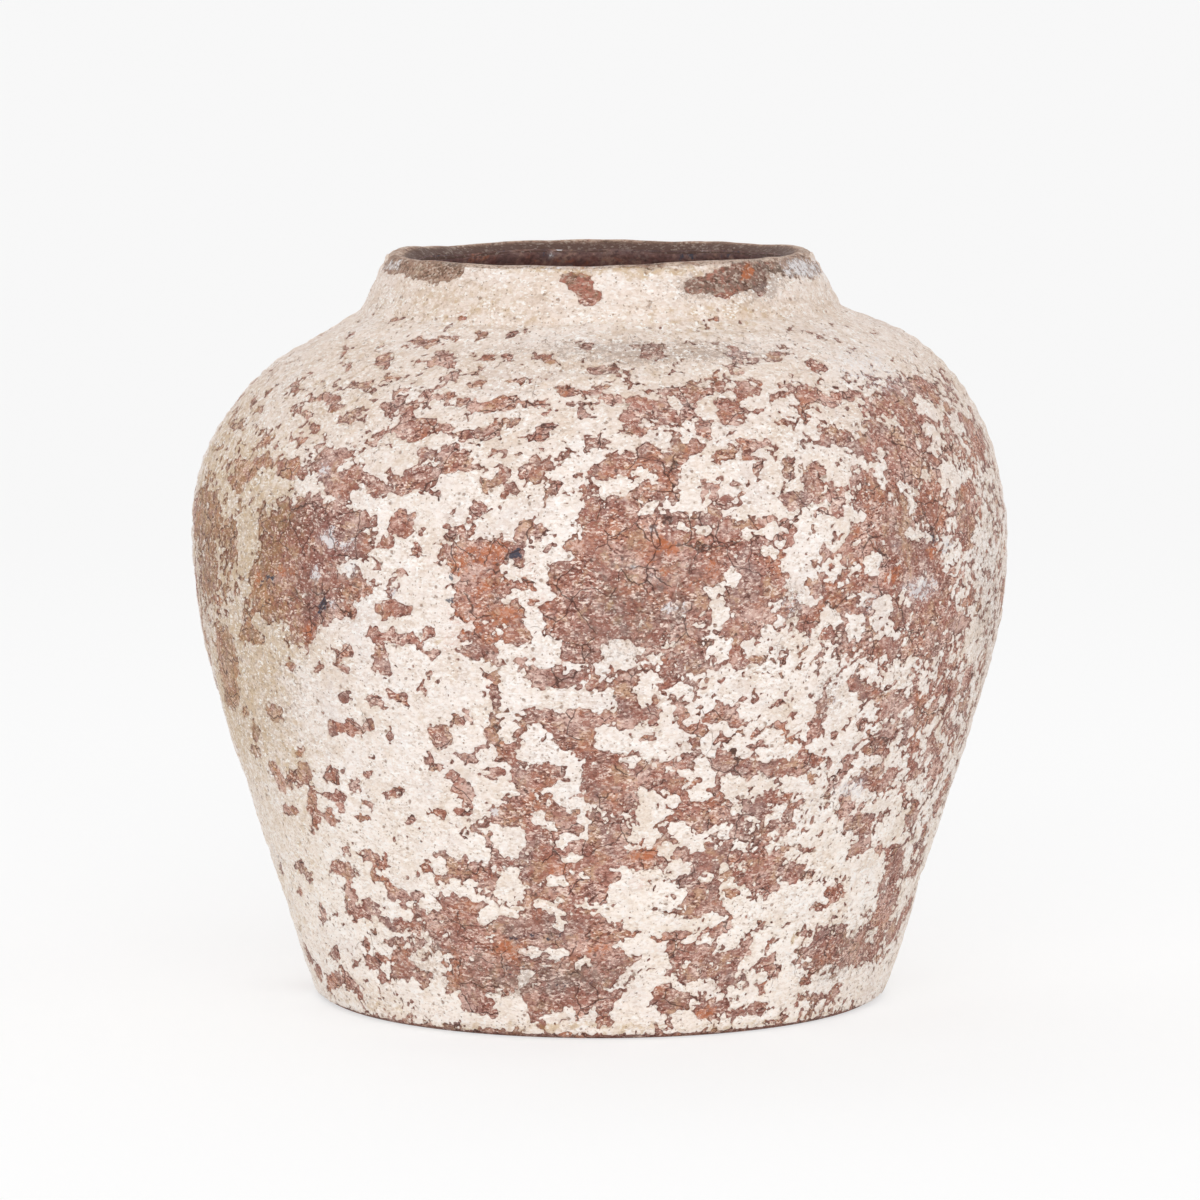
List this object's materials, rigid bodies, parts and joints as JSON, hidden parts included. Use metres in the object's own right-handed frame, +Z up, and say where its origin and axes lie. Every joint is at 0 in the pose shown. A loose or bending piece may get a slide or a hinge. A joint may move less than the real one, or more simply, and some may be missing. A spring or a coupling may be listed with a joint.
{
  "type": "storage jar",
  "caption": "Squat wide-mouthed hand-built stoneware storage jar with a short leaning neck, flat foot and a flaking lime coat.",
  "frame": {"origin": "centre of the flat foot, where the jar stands", "axes": "+Z up along the axis the jar was turned about; -Y is the front, the side seen in the picture; +X is to the right of the front"},
  "size_m": [0.3994, 0.3997, 0.3648],
  "materials": {
    "clay": "matt, rough, unglazed fired clay",
    "rim_clay": "worn, dusty, unglazed fired clay",
    "lime_coat": "matt chalky lime coat, pitted",
    "inner_glaze": "thin dull glaze"
  },
  "bodies": {
    "root": {"base_slab": "clay", "foot_wall": "clay", "lower_wall": "clay", "belly_wall": "clay", "shoulder_wall": "clay", "upper_shoulder": "clay", "neck_collar": "clay", "rim_lip": "rim_clay", "inner_glaze": "inner_glaze", "lime_coat_foot": "lime_coat", "lime_coat_lower": "lime_coat", "lime_coat_belly": "lime_coat", "lime_coat_shoulder": "lime_coat", "lime_coat_neck": "lime_coat"}
  },
  "joints": []
}
